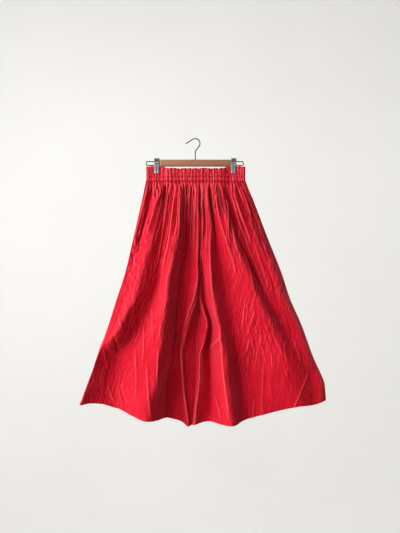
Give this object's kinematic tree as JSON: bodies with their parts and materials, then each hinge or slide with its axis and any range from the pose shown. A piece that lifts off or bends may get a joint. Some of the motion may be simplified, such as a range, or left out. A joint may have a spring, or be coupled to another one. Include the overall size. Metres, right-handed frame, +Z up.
{
  "type": "wide-leg pants on a clip hanger",
  "caption": "Gathered wide-leg pants with an elastic waistband, hung by the waist from a wooden hanger with two sprung clips and a wire hook.",
  "frame": {"origin": "inside top of the hanger's hook, the point that it hangs from", "axes": "+Z up, +X to the right as seen from the front of the pants, +Y back towards what the hanger hangs against"},
  "size_m": [0.8333, 0.112, 0.9801],
  "materials": {
    "cloth": "matt plain-weave cotton and linen, lightly creased, red",
    "wood": "satin varnished beech",
    "steel": "polished plated steel wire and strip"
  },
  "bodies": {
    "root": {"front_left": "cloth", "front_right": "cloth", "back_left": "cloth", "back_right": "cloth", "waistband_front": "cloth", "waistband_back": "cloth", "pocket_edge_left": "cloth", "pocket_edge_right": "cloth", "hanger_bar": "wood", "hanger_hook": "steel", "hanger_loop_left": "steel", "hanger_loop_right": "steel", "clip_left_front": "steel", "clip_left_back": "steel", "clip_left_spring": "steel", "clip_right_front": "steel", "clip_right_back": "steel", "clip_right_spring": "steel"}
  },
  "joints": []
}
